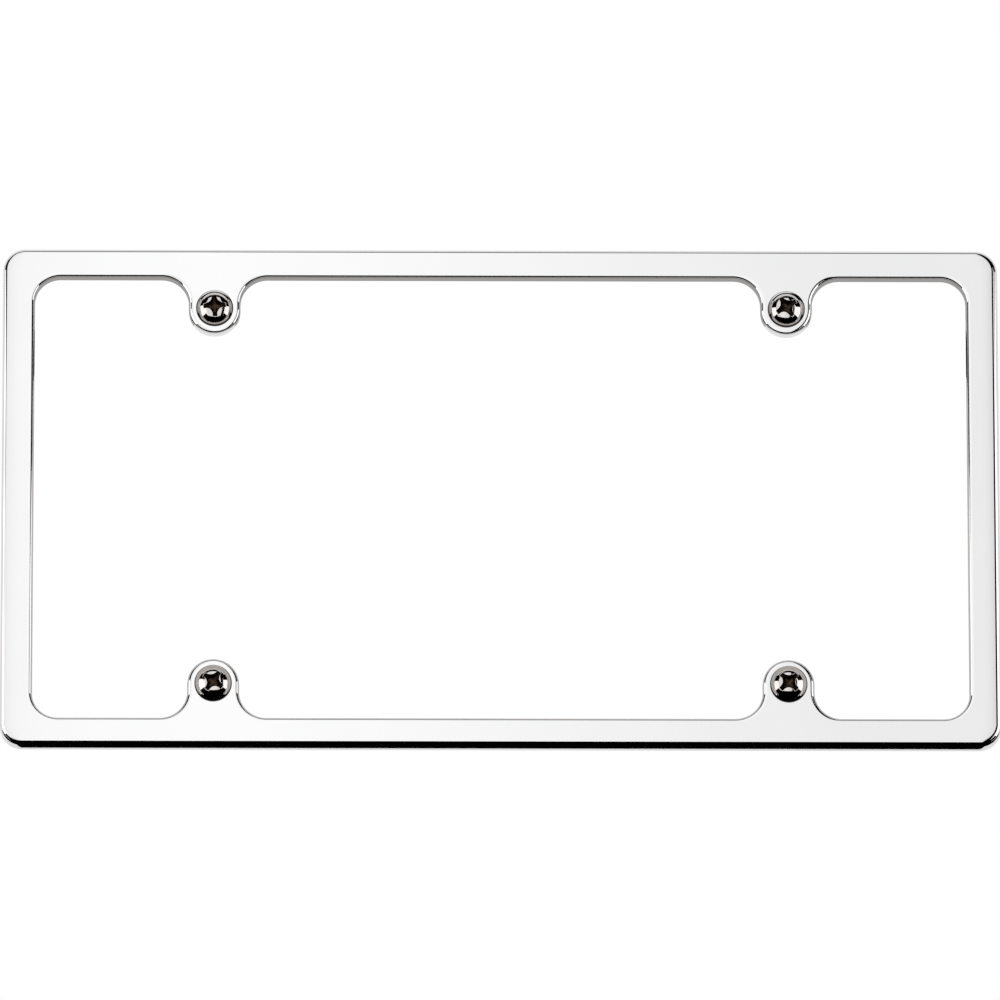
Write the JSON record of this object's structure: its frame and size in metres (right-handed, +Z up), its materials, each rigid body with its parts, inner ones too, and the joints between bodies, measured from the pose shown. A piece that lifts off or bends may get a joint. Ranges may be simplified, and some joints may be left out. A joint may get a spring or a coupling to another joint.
{
  "type": "number plate frame",
  "caption": "Polished rectangular number plate frame with round screw tabs, a plate pocket behind and round-head screws.",
  "frame": {"origin": "centre of the four screws, on the face that the number plate lies against", "axes": "+X along the width, +Z up, +Y backwards along the screws, with the polished face towards -Y"},
  "size_m": [0.3096, 0.0228, 0.1594],
  "materials": {
    "polished_chrome": "mirror polished",
    "screw_steel": "polished"
  },
  "bodies": {
    "root": {"frame": "polished_chrome", "screw_top_left": "screw_steel", "screw_top_right": "screw_steel", "screw_bottom_left": "screw_steel", "screw_bottom_right": "screw_steel"}
  },
  "joints": []
}
